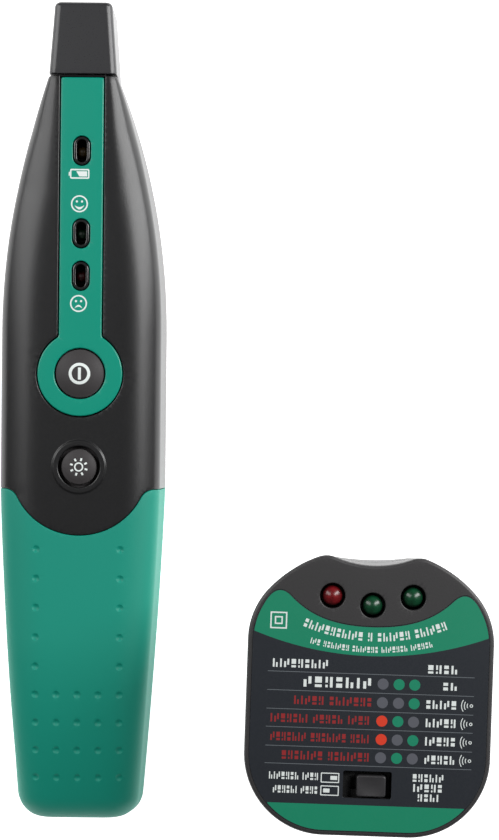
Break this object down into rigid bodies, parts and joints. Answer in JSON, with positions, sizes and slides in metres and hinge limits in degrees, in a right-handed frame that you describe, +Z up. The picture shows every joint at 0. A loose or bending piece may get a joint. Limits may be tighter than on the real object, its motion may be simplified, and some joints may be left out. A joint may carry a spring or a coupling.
{
  "type": "circuit breaker finder",
  "caption": "Hand-held receiver wand with a push-button front and a plug-in transmitter with a socket tester face, laid side by side.",
  "frame": {"origin": "middle of the pair's footprint, on the surface that both units stand on", "axes": "+Y along the receiver from its grip to its sensor nose, +Z up out of both faces, +X from the receiver to the transmitter"},
  "size_m": [0.1287, 0.2176, 0.0666],
  "materials": {
    "black_plastic": "satin",
    "dark_grey_plastic": "satin",
    "green_plastic": "satin",
    "label_film": "satin",
    "button_rubber": "matte",
    "amber_lens": "gloss",
    "green_lens": "gloss",
    "red_lens": "gloss",
    "clear_lens": "gloss",
    "board_laminate": "satin",
    "component_black": "matte",
    "ferrite": "matte",
    "copper_wire": "polished",
    "battery_jacket": "satin",
    "red_insulation": "satin",
    "black_insulation": "satin",
    "zinc_steel": "satin",
    "nickel_brass": "polished",
    "fuse_glass": "gloss",
    "film_capacitor": "satin"
  },
  "bodies": {
    "receiver": {"battery_9v": "battery_jacket", "battery_lead_black": "black_insulation", "battery_lead_red": "red_insulation", "battery_led": "amber_lens", "battery_snap": "component_black", "battery_window": "black_plastic", "buzzer": "component_black", "controller_chip": "component_black", "found_led": "green_lens", "found_window": "black_plastic", "front_housing": "black_plastic", "grip_front": "green_plastic", "grip_rear": "green_plastic", "grip_screw_1": "zinc_steel", "grip_screw_2": "zinc_steel", "grip_screw_3": "zinc_steel", "housing_screw_1": "zinc_steel", "housing_screw_2": "zinc_steel", "housing_screw_3": "zinc_steel", "housing_screw_4": "zinc_steel", "indicator_strip": "green_plastic", "lamp_switch": "component_black", "pickup_coil": "copper_wire", "pickup_core": "ferrite", "power_switch": "component_black", "rear_housing": "black_plastic", "receiver_board": "board_laminate", "search_led": "red_lens", "search_window": "black_plastic", "sensor_nose": "dark_grey_plastic", "torch_led": "clear_lens"},
    "power_button": {"power_button": "button_rubber", "power_plunger": "component_black"},
    "lamp_button": {"lamp_button": "button_rubber", "lamp_plunger": "component_black"},
    "battery_door": {"battery_door": "green_plastic"},
    "transmitter": {"dropper_capacitor": "film_capacitor", "earth_clip_lower": "nickel_brass", "earth_clip_upper": "nickel_brass", "face_label": "label_film", "fuse": "fuse_glass", "live_pin": "nickel_brass", "mode_switch_body": "component_black", "neutral_pin": "nickel_brass", "plug_body": "black_plastic", "tester_base": "black_plastic", "tester_board": "board_laminate", "tester_buzzer": "component_black", "tester_cover": "black_plastic", "tester_led_green_left": "green_lens", "tester_led_green_right": "green_lens", "tester_led_red": "red_lens", "tester_screw_1": "zinc_steel", "tester_screw_2": "zinc_steel", "tester_screw_3": "zinc_steel", "tester_screw_4": "zinc_steel"},
    "mode_switch": {"mode_switch_knob": "dark_grey_plastic"}
  },
  "joints": [
    {"name": "power_button_press", "type": "slide", "parent": "receiver", "child": "power_button", "axis": [0, 0, -1], "range_m": [0, 0.0008], "stiffness_N_per_m": 1000, "springref_m": -0.001},
    {"name": "lamp_button_press", "type": "slide", "parent": "receiver", "child": "lamp_button", "axis": [0, 0, -1], "range_m": [0, 0.0008], "stiffness_N_per_m": 1000, "springref_m": -0.001},
    {"name": "battery_door_slide", "type": "slide", "parent": "receiver", "child": "battery_door", "axis": [0, -1, 0], "range_m": [0, 0.07]},
    {"name": "transmitter_lift", "type": "slide", "parent": "receiver", "child": "transmitter", "axis": [0, 0, 1], "range_m": [0, 0.08]},
    {"name": "mode_switch_slide", "type": "slide", "parent": "transmitter", "child": "mode_switch", "axis": [-0.9997, 0.0253, 0], "range_m": [0, 0.0032]}
  ]
}
